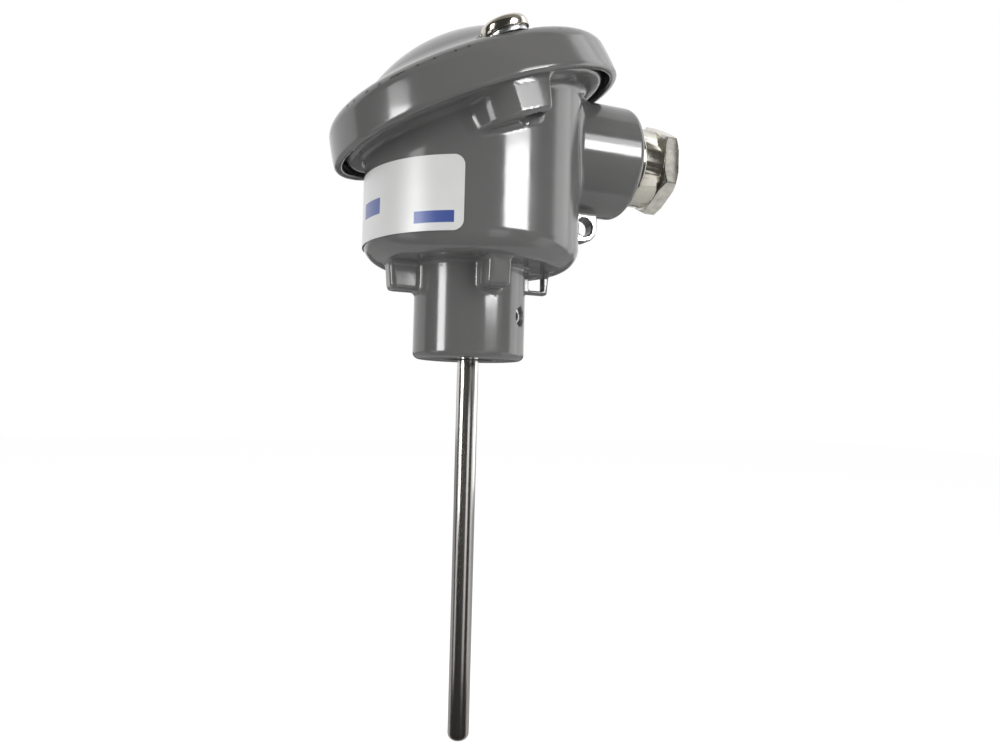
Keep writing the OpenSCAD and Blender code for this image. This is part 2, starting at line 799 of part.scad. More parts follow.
// Ceramic disc with a way for the wires, sunk screw holes and a barrier between terminals
module terminal_block() color(ceramic) difference() {
    union() {
        rod(block_r, block_z, block_top_z);
        for (side = [-1, 1]) {
            translate([side*terminal_x - barrier_l/2, -barrier_t/2, block_top_z - 1])
                cube([barrier_l, barrier_t, barrier_h + 1]);
        }
    }
    rod(stem_bore_r + wire_way_gap, block_z - 1, block_top_z + 5);
    for (side = [-1, 1]) {
        translate([0, side*block_screw_y, 0]) {
            rod(block_screw_r + hole_gap, block_z - 1, block_top_z + 1);
            rod(block_screw_r*2 + hole_gap, block_top_z - block_head_sink, block_top_z + 1);
        }
    }
    for (i = [0:3]) {
        on_terminal(i) rod(terminal_screw_r + barrel_w + turn_gap,
                           block_top_z - terminal_depth - 1, block_top_z + 1);
    }
}

// A cheese-head screw standing on the plane z
module slotted_screw(r, z, len, head_h) {
    difference() {
        union() {
            rod(r, z - len, z + eps);
            rod(r*head_ratio, z, z + head_h);
        }
        translate([-r*2, -slot_w/2, z + head_h/2]) cube([r*4, slot_w, head_h]);
    }
}

module block_screws() color(steel) for (side = [-1, 1]) {
    translate([0, side*block_screw_y, 0])
        slotted_screw(block_screw_r, block_top_z - block_head_sink,
                      block_h + pad_h - block_head_sink + block_screw_bite, block_head_h);
}

// A brass plate on the block with its threaded barrel sunk into the ceramic
module terminal_plate() {
    difference() {
        union() {
            rod(terminal_screw_r + barrel_w, block_top_z - terminal_depth, block_top_z + eps);
            translate([-plate_w/2, -plate_w/2, block_top_z]) cube([plate_w, plate_w, plate_t]);
        }
        rod(terminal_screw_r + turn_gap, block_top_z - terminal_depth - 1, plate_top_z + 1);
    }
}

module terminal_plates() color(brass) for (i = [0:3]) {
    on_terminal(i) terminal_plate();
}

module terminal_clamp(i) {
    on_terminal(i) ring(clamp_r, terminal_screw_r + clamp_gap, clamp_z, clamp_z + clamp_t);
}

module terminal_screw(i) {
    on_terminal(i) slotted_screw(terminal_screw_r, clamp_z + clamp_t + face_gap,
                                 clamp_z + clamp_t - block_top_z + terminal_depth - 0.5, terminal_head_h);
}

module terminal_clamp_1() color(brass) terminal_clamp(0);
module terminal_clamp_2() color(brass) terminal_clamp(1);
module terminal_clamp_3() color(brass) terminal_clamp(2);
module terminal_clamp_4() color(brass) terminal_clamp(3);
module terminal_screw_1() color(nickel) terminal_screw(0);
module terminal_screw_2() color(nickel) terminal_screw(1);
module terminal_screw_3() color(nickel) terminal_screw(2);
module terminal_screw_4() color(nickel) terminal_screw(3);

module earth_clamp() color(brass) on_earth_pad()
    ring(earth_screw_r*head_ratio, earth_screw_r + clamp_gap, floor_z + earth_pad_h + face_gap,
         floor_z + earth_pad_h + face_gap + earth_clamp_t);

module earth_screw() color(brass) on_earth_pad()
    slotted_screw(earth_screw_r, floor_z + earth_pad_h + earth_clamp_t + 2*face_gap, 6.5, 2.4);

head_body();
head_cap();
cap_gasket();
cap_screw_front();
cap_screw_back();
cap_washer_front();
cap_washer_back();
gland_washer();
gland_body();
gland_seal();
gland_thrust_ring();
gland_nut();
label();
neck_bush();
grub_screw();
stem_sheath();
insulator_rod();
sensing_element();
lead_wires_red();
lead_wires_white();
terminal_block();
block_screws();
terminal_plates();
terminal_clamp_1();
terminal_clamp_2();
terminal_clamp_3();
terminal_clamp_4();
terminal_screw_1();
terminal_screw_2();
terminal_screw_3();
terminal_screw_4();
earth_screw();
earth_clamp();
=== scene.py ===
import math

import bmesh
import bpy
import numpy as np
from mathutils import Matrix, Vector


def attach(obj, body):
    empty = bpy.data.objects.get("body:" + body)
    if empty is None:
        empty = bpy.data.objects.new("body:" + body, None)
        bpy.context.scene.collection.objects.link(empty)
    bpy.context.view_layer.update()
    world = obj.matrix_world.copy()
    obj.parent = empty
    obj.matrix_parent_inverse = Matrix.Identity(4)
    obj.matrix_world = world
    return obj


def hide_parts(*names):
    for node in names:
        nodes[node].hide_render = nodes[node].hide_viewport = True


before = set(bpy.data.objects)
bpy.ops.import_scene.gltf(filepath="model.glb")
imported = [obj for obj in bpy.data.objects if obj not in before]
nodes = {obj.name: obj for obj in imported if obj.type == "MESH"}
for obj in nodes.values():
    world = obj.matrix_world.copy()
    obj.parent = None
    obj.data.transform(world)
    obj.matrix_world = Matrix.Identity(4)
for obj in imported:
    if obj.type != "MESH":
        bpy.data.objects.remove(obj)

scene = bpy.context.scene
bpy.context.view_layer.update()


# ---- Camera
# It stands close to the head, in front of it and a little below the pot, and looks slightly
# upward, so the underside of the rim and the whole stem are in view.
camera_azimuth, camera_distance, camera_height = math.radians(-108.887), 0.21308, -0.01144
camera_yaw, camera_pitch, camera_roll = 0.0432, 0.03514, -0.02505
away = Vector((-math.cos(camera_azimuth), -math.sin(camera_azimuth), 0))
rightward = Vector((-math.sin(camera_azimuth), math.cos(camera_azimuth), 0))
upward = Vector((0, 0, 1))
turned_away = math.sin(camera_yaw) * rightward + math.cos(camera_yaw) * away
sight = math.sin(camera_pitch) * upward + math.cos(camera_pitch) * turned_away
level_right = math.cos(camera_yaw) * rightward - math.sin(camera_yaw) * away
level_up = math.cos(camera_pitch) * upward - math.sin(camera_pitch) * turned_away
camera_right = math.cos(camera_roll) * level_right - math.sin(camera_roll) * level_up
camera_up = math.sin(camera_roll) * level_right + math.cos(camera_roll) * level_up
camera = bpy.data.objects.new("camera", bpy.data.cameras.new("camera"))
camera.data.lens, camera.data.sensor_width = 27.0, 36.0
camera.data.clip_start = 0.01
place = Matrix((camera_right, camera_up, -sight)).transposed().to_4x4()
place.translation = -camera_distance * away + Vector((0, 0, camera_height))
camera.matrix_world = place
scene.collection.objects.link(camera)
scene.camera = camera
scene.view_settings.view_transform = "Standard"


# ---- Studio
# A pale floor well below the probe's tip and a white surround. Soft boxes stand left, right and
# overhead, low strips light the stem, pale panels stand behind on the right, a dark screen faces
# the probe's front and a dark card lies low behind it.
def worked(operation, *values):
    """A sum on sockets and plain numbers, in the node tree of the sockets."""
    tree = next(value for value in values if not isinstance(value, (int, float))).id_data
    step = tree.nodes.new("ShaderNodeMath")
    step.operation = operation
    for socket, value in zip(step.inputs, values):
        if isinstance(value, (int, float)):
            socket.default_value = value
        else:
            tree.links.new(value, socket)
    return step.outputs[0]


surround_light = 0.3
world = bpy.data.worlds.new("white_surround")
world.use_nodes = True
scene.world = world
tree = world.node_tree
background = tree.nodes["Background"]
background.inputs["Color"].default_value = (1, 1, 1, 1)
rays = tree.nodes.new("ShaderNodeLightPath").outputs
mirrored = worked("MAXIMUM", rays["Is Glossy Ray"], rays["Is Transmission Ray"])
looked_at = worked("MAXIMUM", rays["Is Camera Ray"], mirrored)
tree.links.new(worked("MULTIPLY_ADD", looked_at, 1 - surround_light, surround_light),
               background.inputs["Strength"])


def plain_sheet(name, corners):
    mesh = bpy.data.meshes.new(name)
    mesh.from_pydata(corners, [], [tuple(range(len(corners)))])
    sheet = bpy.data.objects.new(name, mesh)
    scene.collection.objects.link(sheet)
    return sheet


floor_z, floor_half = -0.24, 4
floor_seen, floor_mirrored = 0.75, 0.12
floor = plain_sheet("floor", [(x * floor_half, y * floor_half, floor_z)
                              for x, y in ((-1, -1), (1, -1), (1, 1), (-1, 1))])
pale = bpy.data.materials.new("pale_floor")
pale.use_nodes = True
tree = pale.node_tree
tree.nodes.clear()
matt = tree.nodes.new("ShaderNodeBsdfDiffuse")
matt.inputs["Color"].default_value = (0.8, 0.8, 0.8, 1)
glow = tree.nodes.new("ShaderNodeEmission")
rays = tree.nodes.new("ShaderNodeLightPath").outputs
mirrored = worked("MAXIMUM", rays["Is Glossy Ray"], rays["Is Transmission Ray"])
seen = worked("MULTIPLY", rays["Is Camera Ray"], floor_seen)
tree.links.new(worked("MULTIPLY_ADD", mirrored, floor_mirrored, seen), glow.inputs["Strength"])
lit = tree.nodes.new("ShaderNodeAddShader")
tree.links.new(matt.outputs[0], lit.inputs[0])
tree.links.new(glow.outputs[0], lit.inputs[1])
one_sided = tree.nodes.new("ShaderNodeMixShader")
tree.links.new(tree.nodes.new("ShaderNodeNewGeometry").outputs["Backfacing"], one_sided.inputs[0])
tree.links.new(lit.outputs[0], one_sided.inputs[1])
tree.links.new(tree.nodes.new("ShaderNodeBsdfTransparent").outputs[0], one_sided.inputs[2])
out = tree.nodes.new("ShaderNodeOutputMaterial")
tree.links.new(one_sided.outputs[0], out.inputs["Surface"])
floor.data.materials.append(pale)

head_middle = Vector((0, 0, 0.04))


def aim(turn, rise):
    """A direction from the head; turn is degrees rightward of the camera, rise is degrees up."""
    azimuth, elevation = camera_azimuth + math.radians(turn), math.radians(rise)
    return Vector((math.cos(azimuth) * math.cos(elevation), math.sin(azimuth) * math.cos(elevation),
                   math.sin(elevation)))


def lamp(name, turn, rise, distance, width, height, radiance, highlight=False):
    """An area lamp aimed at the head, for matt light only or for its highlight only."""
    data = bpy.data.lights.new(name, "AREA")
    data.shape, data.size, data.size_y = "RECTANGLE", width, height
    data.energy = radiance * math.pi * width * height
    outward = aim(turn, rise)
    box = bpy.data.objects.new(name, data)
    box.matrix_world = outward.to_track_quat("Z", "Y").to_matrix().to_4x4()
    box.location = head_middle + distance * outward
    box.visible_camera = False
    box.visible_glossy = highlight
    box.visible_diffuse = not highlight
    scene.collection.objects.link(box)
    return box


def glowing(name, colour=(1, 1, 1, 1)):
    """A material that only gives off light, and the socket for its strength."""
    material = bpy.data.materials.new(name)
    material.use_nodes = True
    tree = material.node_tree
    tree.nodes.clear()
    give = tree.nodes.new("ShaderNodeEmission")
    give.inputs["Color"].default_value = colour
    out = tree.nodes.new("ShaderNodeOutputMaterial")
    tree.links.new(give.outputs[0], out.inputs["Surface"])
    return material, give.inputs["Strength"]


def shine(name, turns, rises, low_glow, high_glow, even_share=0.0, distance=0.8):
    """The glowing face of a soft box or panel, seen only as a reflection. Its level is even over
    the lowest share of its height and then changes up to its top."""
    corners = [head_middle + distance * aim(turns[i], rises[j])
               for i, j in ((0, 0), (1, 0), (1, 1), (0, 1))]
    sheet = plain_sheet(name, corners)
    sheet.visible_camera = sheet.visible_diffuse = False
    sheet.visible_shadow = sheet.visible_transmission = False
    face, strength = glowing(name)
    tree = face.node_tree
    height = tree.nodes.new("ShaderNodeSeparateXYZ")
    tree.links.new(tree.nodes.new("ShaderNodeTexCoord").outputs["Object"], height.inputs[0])
    low_z, high_z = corners[0].z, corners[2].z
    glow = tree.nodes.new("ShaderNodeMapRange")
    glow.interpolation_type = "SMOOTHSTEP"
    glow.inputs["From Min"].default_value = low_z + even_share * (high_z - low_z)
    glow.inputs["From Max"].default_value = high_z
    glow.inputs["To Min"].default_value = low_glow
    glow.inputs["To Max"].default_value = high_glow
    tree.links.new(height.outputs["Z"], glow.inputs["Value"])
    tree.links.new(glow.outputs["Result"], strength)
    sheet.data.materials.append(face)


lamp("right_box_light", 50, 6, 0.8, 0.5, 0.6, 3.9)
lamp("left_box_light", -60, 0, 0.8, 0.4, 0.6, 3.5)
lamp("top_box_light", 40, 75, 0.8, 0.6, 0.6, 1.6)
right_box = lamp("right_box_face", 45, 12.7, 0.72, 0.32, 0.185, 24, highlight=True)
right_box_top = lamp("right_box_top", 45, 25.2, 0.72, 0.32, 0.13, 8, highlight=True)
shine("right_card", (34, 68), (4, 30), 0.9, 0.7)
shine("left_box", (-66, -50), (-14, 19), 6, 5, even_share=0.2)
lamp("left_box_face", -57, 3, 0.72, 0.2, 0.17, 12, highlight=True)
shine("low_left_strip", (-80, -62), (-40, -9), 0.8, 1.2, distance=0.35)
shine("low_front_strip", (18, 38), (-40, -9), 0.8, 1.4, distance=0.35)
shine("low_right_panel", (72, 93), (-40, -9), 0.8, 1.1, distance=0.35)
shine("back_panel", (93, 118), (-12, 50), 2.6, 2.2)
shine("far_back_panel", (118, 136), (-12, 50), 1.5, 1.3)
shine("low_back_card", (150, 210), (-12, -1), 0.12, 0.12)

screen_r, screen_top, screen_steps, screen_from, screen_sweep = 1.3, 1.1, 24, -100, 190
screen_arc = [camera_azimuth + math.radians(screen_from + screen_sweep * k / screen_steps)
              for k in range(screen_steps + 1)]
rim_of_screen = [(screen_r * math.cos(a), screen_r * math.sin(a)) for a in screen_arc]
foot_z, upper = floor_z + 0.02, screen_steps + 1
foot_middle, top_middle = 2 * upper, 2 * upper + 1
dark_screen = bpy.data.objects.new("dark_screen", bpy.data.meshes.new("dark_screen"))
dark_screen.data.from_pydata(
    [(x, y, foot_z) for x, y in rim_of_screen] + [(x, y, screen_top) for x, y in rim_of_screen]
    + [(0, 0, foot_z), (0, 0, screen_top)], [],
    [(k, k + 1, k + 1 + upper, k + upper) for k in range(screen_steps)]
    + [(k + 1, k, foot_middle) for k in range(screen_steps)]
    + [(k + upper, k + 1 + upper, top_middle) for k in range(screen_steps)])
scene.collection.objects.link(dark_screen)
dark_screen.visible_camera = dark_screen.visible_diffuse = False
dark_screen.visible_shadow = dark_screen.visible_transmission = False
for name, brightness in (("dark_screen", 0.05), ("dim_ceiling", 0.3)):
    dim, strength = glowing(name, (1, 0.97, 0.91, 1))
    strength.default_value = brightness
    dark_screen.data.materials.append(dim)
for face in dark_screen.data.polygons[2 * screen_steps:]:
    face.material_index = 1


# ---- Head casting
# Neck, pot, rim flange, screw lugs, cable boss, loops and eyelet are one die casting in aluminium,
# with soft edges and a fillet at every joint, finished in glossy grey enamel.
mm = 0.001
far, past_pot, past_boss, pad_root = 300, 60, 80, 28
neck_r, neck_h, neck_bore_r, neck_edge, neck_fillet = 15.75, 26.0, 7.65, 1.8, 1.2
neck_lug_reach, neck_lug_w, neck_lug_h, neck_lug_edge, neck_lug_draft = 24.25, 6.4, 7.8, 1.3, 0.09
loop_w, loop_h, loop_edge = 2.6, 6.0, 0.7
window_low, window_high, window_edge = (17.75, -9, 21.2), (22.25, 9, 25.9), 0.5
pot_r, pot_edge, pot_floor, cavity_r, cavity_edge = 30.5, 6.0, 30.0, 27.5, 3.0
rim_z, tilt, cap_shift, seat_h, seat_edge = 66.0, math.radians(21), 0.7, 4.5, 0.35
flange_r, flange_foot, flange_edge, flange_fillet = 37.9, 0.5, 1.5, 1.7
lug_high, lug_low, lug_taper, lug_drop, lug_top, lug_inner = 7.0, 8.8, 0.3, 8.0, 1.2, 20
lug_face_r, lug_turn, lug_corner, lug_edge, lug_fillet = 38.0, 3.6, 4.0, 1.3, 1.6
flank_y, flank_across, flank_along = 37.5, 0.49, 0.87
cap_screw_y, cap_thread_r, cap_thread_depth = 33.5, 3.05, 8.6
boss_r, boss_end, gland_z, boss_edge, boss_fillet = 16.75, 47.5, 62.4, 2.2, 1.4
cable_way_r, cable_way_from, gland_hole_r, gland_hole_from = 8.8, 21.5, 10.05, 35.5
eyelet_x, eyelet_z, eyelet_hole, eyelet_t, eyelet_edge = 35.0, 41.5, 2.6, 4.5, 0.35
eyelet_reach, eyelet_drop, eyelet_corner, eyelet_root, eyelet_fillet = 4.2, 4.5, 4.2, 28.5, 0.8
collar_r, pad_y, pad_r, pad_top, block_hole_r = 10.1, 16.5, 4.2, 33.0, 2.05
earth_x, earth_y, earth_r, earth_top, earth_hole_r = -20.666, 11.931, 3.34, 34.0, 1.8
grub_z, grub_hole, grub_azimuth, grub_hole_from = 12.1, 2.55, math.radians(-45), 5


def turned(radius, height, r, low, high, low_edge, high_edge):
    """Depth inside a round bar with rounded ends; all forms are in millimetres."""
    edge = np.where(height < (low + high) / 2, low_edge, high_edge)
    a = radius - (r - edge)
    b = np.abs(height - (low + high) / 2) - ((high - low) / 2 - edge)
    return np.minimum(np.maximum(a, b), 0) + np.hypot(np.maximum(a, 0), np.maximum(b, 0)) - edge


def brick(x, y, z, low, high, edge):
    """Depth inside a block with rounded edges."""
    a, b, c = (np.abs(v - (p + q) / 2) - ((q - p) / 2 - edge) for v, p, q in zip((x, y, z), low, high))
    outer = np.sqrt(np.maximum(a, 0) ** 2 + np.maximum(b, 0) ** 2 + np.maximum(c, 0) ** 2)
    return np.minimum(np.maximum(np.maximum(a, b), c), 0) + outer - edge


def grow(a, b, fillet):
    """Two forms cast as one, with a fillet where they meet."""
    corner = np.hypot(np.maximum(fillet - a, 0), np.maximum(fillet - b, 0))
    return np.maximum(fillet, np.minimum(a, b)) - corner


def trim(a, b, edge):
    """What two forms share, with its new edge rounded."""
    return -grow(-a, -b, edge)


def bore(a, b, edge):
    """One form with another cut out of it, and the mouth rounded."""
    return -grow(-a, b, edge)


def with_neck_lugs(form, x, y, z):
    """A form with three drafted lugs and a thin loop cast on round the top of the neck."""
    lug = (neck_lug_h, neck_lug_w, neck_lug_edge)
    for azimuth, (drop, width, edge) in ((0, (loop_h, loop_w, loop_edge)), (90, lug), (180, lug), (270, lug)):
        c, s = math.cos(math.radians(azimuth)), math.sin(math.radians(azimuth))
        out = x * c + y * s + neck_lug_draft * (neck_h - z)
        form = grow(form, brick(out, y * c - x * s, z, (10, -width / 2, neck_h - drop),
                                (neck_lug_reach, width / 2, neck_h + 4), edge), edge)
    return form


def screw_lug_form(along, above, y):
    """The pair of lugs under the flange that take the cap screws."""
    face = np.hypot(along + lug_turn, y) - lug_face_r
    low_flank = flank_across * (np.abs(y) - flank_y) - flank_along * (along + lug_low)
    high_flank = along - lug_high - lug_taper * above
    outline = np.maximum(trim(low_flank, face, lug_corner), lug_inner - np.abs(y))
    lug = trim(trim(outline, high_flank, 1.0), -lug_drop - above, lug_edge)
    return np.maximum(lug, above - lug_top)


def eyelet_form(x, y, z):
    """The earthing eyelet: a plate in the corner under the boss with one round corner."""
    out, down = x - (eyelet_x + eyelet_reach - eyelet_corner), (eyelet_z - eyelet_drop + eyelet_corner) - z
    plate = (np.minimum(np.maximum(out, down), 0)
             + np.hypot(np.maximum(out, 0), np.maximum(down, 0)) - eyelet_corner)
    plate = np.maximum(np.maximum(plate, z - gland_z), eyelet_root - x)
    return trim(plate, np.abs(y) - eyelet_t / 2, eyelet_edge)


def head_form(x, y, z):
    """The whole casting: first what is solid, then the cavity, the pads in it and the holes."""
    r = np.hypot(x, y)
    along = x * math.cos(tilt) + (z - rim_z) * math.sin(tilt) - cap_shift
    above = (z - rim_z) * math.cos(tilt) - x * math.sin(tilt)
    from_boss_axis = np.hypot(y, z - gland_z)
    from_pad, from_earth = np.hypot(x, np.abs(y) - pad_y), np.hypot(x - earth_x, y - earth_y)

    pot = turned(r, z, pot_r, neck_h, far, pot_edge, 0)
    form = grow(turned(r, z, neck_r, 0, past_pot, neck_edge, 0), pot, neck_fillet)
    form = with_neck_lugs(form, x, y, z)
    flange = trim(grow(pot, flange_foot - above, flange_fillet), np.hypot(along, y) - flange_r, flange_edge)
    form = grow(np.minimum(form, flange), screw_lug_form(along, above, y), lug_fillet)
    form = grow(form, turned(from_boss_axis, x, boss_r, -10, boss_end, 0, boss_edge), boss_fillet)
    form = grow(form, eyelet_form(x, y, z), eyelet_fillet)
    form = trim(form, above - seat_h, seat_edge)

    form = bore(form, turned(r, z, cavity_r, pot_floor, far, cavity_edge, 0), 0.4)
    form = grow(form, turned(from_pad, z, pad_r, pad_root, pad_top, 0, 0.4), 0.8)
    form = grow(form, turned(from_earth, z, earth_r, pad_root, earth_top, 0, 0.3), 0.6)
    form = bore(form, np.maximum(r - neck_bore_r, z - past_pot), 0.4)
    form = bore(form, turned(r, z, collar_r, pad_root, past_pot, 0, 0), 0.2)
    form = bore(form, turned(from_pad, z, block_hole_r, pad_root, past_pot, 0, 0), 0.2)
    form = bore(form, turned(from_earth, z, earth_hole_r, pad_root, past_pot, 0, 0), 0.2)
    form = bore(form, turned(from_boss_axis, x, cable_way_r, cable_way_from, past_boss, 0, 0), 0.3)
    form = bore(form, turned(from_boss_axis, x, gland_hole_r, gland_hole_from, past_boss, 0, 0), 0.3)
    cap_thread = np.hypot(along, np.abs(y) - cap_screw_y) - cap_thread_r
    form = bore(form, np.maximum(cap_thread, -cap_thread_depth - above), 0.3)
    form = bore(form, np.maximum(np.hypot(x - eyelet_x, z - eyelet_z) - eyelet_hole, 30 - x), 0.3)
    form = bore(form, brick(x, y, z, window_low, window_high, window_edge), 0.4)
    c, s = math.cos(grub_azimuth), math.sin(grub_azimuth)
    grub_way = np.maximum(np.hypot(y * c - x * s, z - grub_z) - grub_hole, grub_hole_from - (x * c + y * s))
    return bore(form, grub_way, 0.2)


def cast(name, form, low, high, step):
    """Meshes the surface of a form, with each vertex and its normal taken from the form itself."""
    axes = [np.arange(a, b + step, step) for a, b in zip(low, high)]
    depth = form(*np.meshgrid(*axes, indexing="ij"))
    size = [n - 1 for n in depth.shape]
    crossings = np.zeros((*size, 3))
    count = np.zeros(size)
    quads = []
    number = np.full(size, -1)
    cut_edges = []
    for axis in range(3):
        a = [slice(None)] * 3
        b = [slice(None)] * 3
        a[axis], b[axis] = slice(0, -1), slice(1, None)
        here, there = depth[tuple(a)], depth[tuple(b)]
        crossed = (here < 0) != (there < 0)
        cut_edges.append((crossed, here < 0))
        share = np.zeros_like(here)
        share[crossed] = here[crossed] / (here[crossed] - there[crossed])
        others = [k for k in range(3) if k != axis]
        for shift_1 in (0, 1):
            for shift_2 in (0, 1):
                pick = [slice(None)] * 3
                pick[others[0]] = slice(shift_1, shift_1 + size[others[0]])
                pick[others[1]] = slice(shift_2, shift_2 + size[others[1]])
                hit = crossed[tuple(pick)]
                count += hit
                crossings[..., axis] += np.where(hit, share[tuple(pick)], 0)
                crossings[..., others[0]] += hit * shift_1
                crossings[..., others[1]] += hit * shift_2
    active = count > 0
    number[active] = np.arange(active.sum())
    cell = np.argwhere(active)
    points = (cell + crossings[active] / count[active][:, None]) * step + np.array([a[0] for a in axes])
    for axis in range(3):
        crossed, solid_first = cut_edges[axis]
        o1, o2 = (axis + 1) % 3, (axis + 2) % 3
        at = np.argwhere(crossed)
        at = at[(at[:, o1] > 0) & (at[:, o2] > 0) & (at[:, o1] < size[o1]) & (at[:, o2] < size[o2])]
        ring = []
        for d1, d2 in ((1, 1), (0, 1), (0, 0), (1, 0)):
            near = at.copy()
            near[:, o1] -= d1
            near[:, o2] -= d2
            ring.append(number[tuple(near.T)])
        ring = np.stack(ring, 1)
        outward = solid_first[tuple(at.T)]
        ring[~outward] = ring[~outward][:, ::-1]
        quads.append(ring)
    quads = np.concatenate(quads)

    def slope(p, reach=0.01):
        shifts = np.eye(3) * reach
        return np.stack([form(*(p + s).T) - form(*(p - s).T) for s in shifts], 1) / (2 * reach)

    for _ in range(5):
        g = slope(points)
        move = form(*points.T)[:, None] * g / np.maximum((g * g).sum(1), 0.25)[:, None]
        points = points - np.clip(move, -0.4 * step, 0.4 * step)
    normals = slope(points)
    normals /= np.maximum(np.linalg.norm(normals, axis=1), 1e-6)[:, None]
    mesh = bpy.data.meshes.new(name)
    mesh.from_pydata(points, [], quads.tolist())
    return mesh, normals


def set_down(name, mesh, normals, matrix):
    """Scales a mesh from millimetres, puts it in its place and gives it its own normals."""
    mesh.transform(matrix @ Matrix.Scale(mm, 4))
    turn = np.array(matrix.to_3x3())
    mesh.polygons.foreach_set("use_smooth", np.ones(len(mesh.polygons), bool))
    mesh.normals_split_custom_set_from_vertices((normals @ turn.T).tolist())
    piece = bpy.data.objects.new(name, mesh)
    scene.collection.objects.link(piece)
    return piece


def finish(name, colour, roughness, metallic=0.0):
    """A new material with its shader and the piece's own coordinates."""
    material = bpy.data.materials.new(name)
    material.use_nodes = True
    tree = material.node_tree
    shader = tree.nodes["Principled BSDF"]
    shader.inputs["Base Color"].default_value = (*colour, 1)
    shader.inputs["Roughness"].default_value = roughness
    shader.inputs["Metallic"].default_value = metallic
    return material, shader, tree.nodes.new("ShaderNodeTexCoord").outputs["Object"]


def cloudy(where, scale, detail=3.0, stretch=(1, 1, 1)):
    """Noise over the piece, drawn out along the axes whose stretch is small."""
    tree = where.id_data
    mapping = tree.nodes.new("ShaderNodeMapping")
    mapping.inputs["Scale"].default_value = stretch
    tree.links.new(where, mapping.inputs["Vector"])
    noise = tree.nodes.new("ShaderNodeTexNoise")
    noise.inputs["Scale"].default_value = scale
    noise.inputs["Detail"].default_value = detail
    tree.links.new(mapping.outputs[0], noise.inputs["Vector"])
    return noise.outputs["Fac"]


def ramp(value, *stops):
    """Colours or levels along a value; each stop is (place, colour)."""
    tree = value.id_data
    band = tree.nodes.new("ShaderNodeValToRGB")
    while len(band.color_ramp.elements) < len(stops):
        band.color_ramp.elements.new(0.5)
    for element, (place, colour) in zip(band.color_ramp.elements, stops):
        element.position = place
        element.color = (*colour, 1) if len(colour) == 3 else (colour[0],) * 3 + (1,)
    tree.links.new(value, band.inputs["Fac"])
    return band.outputs["Color"]


def vary(shader, key, value, *stops):
    """Lets one of the shader's inputs follow a value through a ramp."""
    shader.id_data.links.new(ramp(value, *stops), shader.inputs[key])


def bumpy(shader, value, depth):
    """Raises the surface by a value; depth is in metres."""
    tree = shader.id_data
    bump = tree.nodes.new("ShaderNodeBump")
    bump.inputs["Distance"].default_value = depth
    tree.links.new(value, bump.inputs["Height"])
    tree.links.new(bump.outputs["Normal"], shader.inputs["Normal"])


grey, grey_roughness = (0.138, 0.137, 0.135), 0.13
enamel, shader, where = finish("grey_enamel", grey, grey_roughness)
vary(shader, "Base Color", cloudy(where, 60), (0.3, (0.134, 0.134, 0.133)), (0.7, (0.142, 0.141, 0.139)))
vary(shader, "Roughness", cloudy(where, 150), (0.3, (0.11,)), (0.7, (0.16,)))
bumpy(shader, cloudy(where, 350, 0.0), 0.000008)

mesh, normals = cast("head_casting", head_form, (-39.5, -39.5, -1.2), (48.7, 39.5, 86.5), 0.66)
head = set_down("head_casting", mesh, normals, Matrix.Identity(4))
head.data.materials.append(enamel)
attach(head, "head")
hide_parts("head_body")

# The eyelet's two flat sides are milled bare, clear of the edges. A ring round the hole's mouth,
# a little wider than its rounding, keeps the grey enamel as painted shade round the hole.
bare_grey, bare_metallic, bare_roughness = (0.64, 0.64, 0.63), 0.8, 0.34
mouth_shade_in, mouth_shade_out = eyelet_hole + 0.45, eyelet_hole + 0.6
milled, shader, where = finish("machined_face", grey, grey_roughness)
tree = milled.node_tree
facing = tree.nodes.new("ShaderNodeVectorTransform")
facing.vector_type, facing.convert_from, facing.convert_to = "NORMAL", "WORLD", "OBJECT"
tree.links.new(tree.nodes.new("ShaderNodeNewGeometry").outputs["Normal"], facing.inputs[0])
facing_parts, place_parts = (tree.nodes.new("ShaderNodeSeparateXYZ") for _ in range(2))
tree.links.new(facing.outputs[0], facing_parts.inputs[0])
tree.links.new(where, place_parts.inputs[0])
on_side = ramp(worked("ABSOLUTE", facing_parts.outputs["Y"]), (0.72, (0.0,)), (0.86, (1.0,)))
from_x = worked("SUBTRACT", place_parts.outputs["X"], eyelet_x * mm)
from_z = worked("SUBTRACT", place_parts.outputs["Z"], eyelet_z * mm)
squares = worked("ADD", worked("MULTIPLY", from_x, from_x), worked("MULTIPLY", from_z, from_z))
from_hole = worked("SQRT", squares)
# Painted shade: the enamel kept on this ring round the hole's mouth stands for the shade there.
clear = tree.nodes.new("ShaderNodeMapRange")
clear.inputs["From Min"].default_value = mouth_shade_in * mm
clear.inputs["From Max"].default_value = mouth_shade_out * mm
tree.links.new(from_hole, clear.inputs["Value"])
bare = worked("MULTIPLY", on_side, clear.outputs["Result"])
vary(shader, "Base Color", bare, (0.0, grey), (1.0, bare_grey))
vary(shader, "Metallic", bare, (0.0, (0.0,)), (1.0, (bare_metallic,)))
vary(shader, "Roughness", bare, (0.0, (grey_roughness,)), (1.0, (bare_roughness,)))
bumpy(shader, cloudy(where, 1500, 2.0, (1, 1, 0.15)), 0.000004)
head.data.materials.append(milled)
for face in head.data.polygons:
    x, y, z = face.center / mm
    if abs(y) < eyelet_t / 2 + 0.2 and x > 31.6 and eyelet_z - 5 < z < eyelet_z + 4.2:
        face.material_index = 1


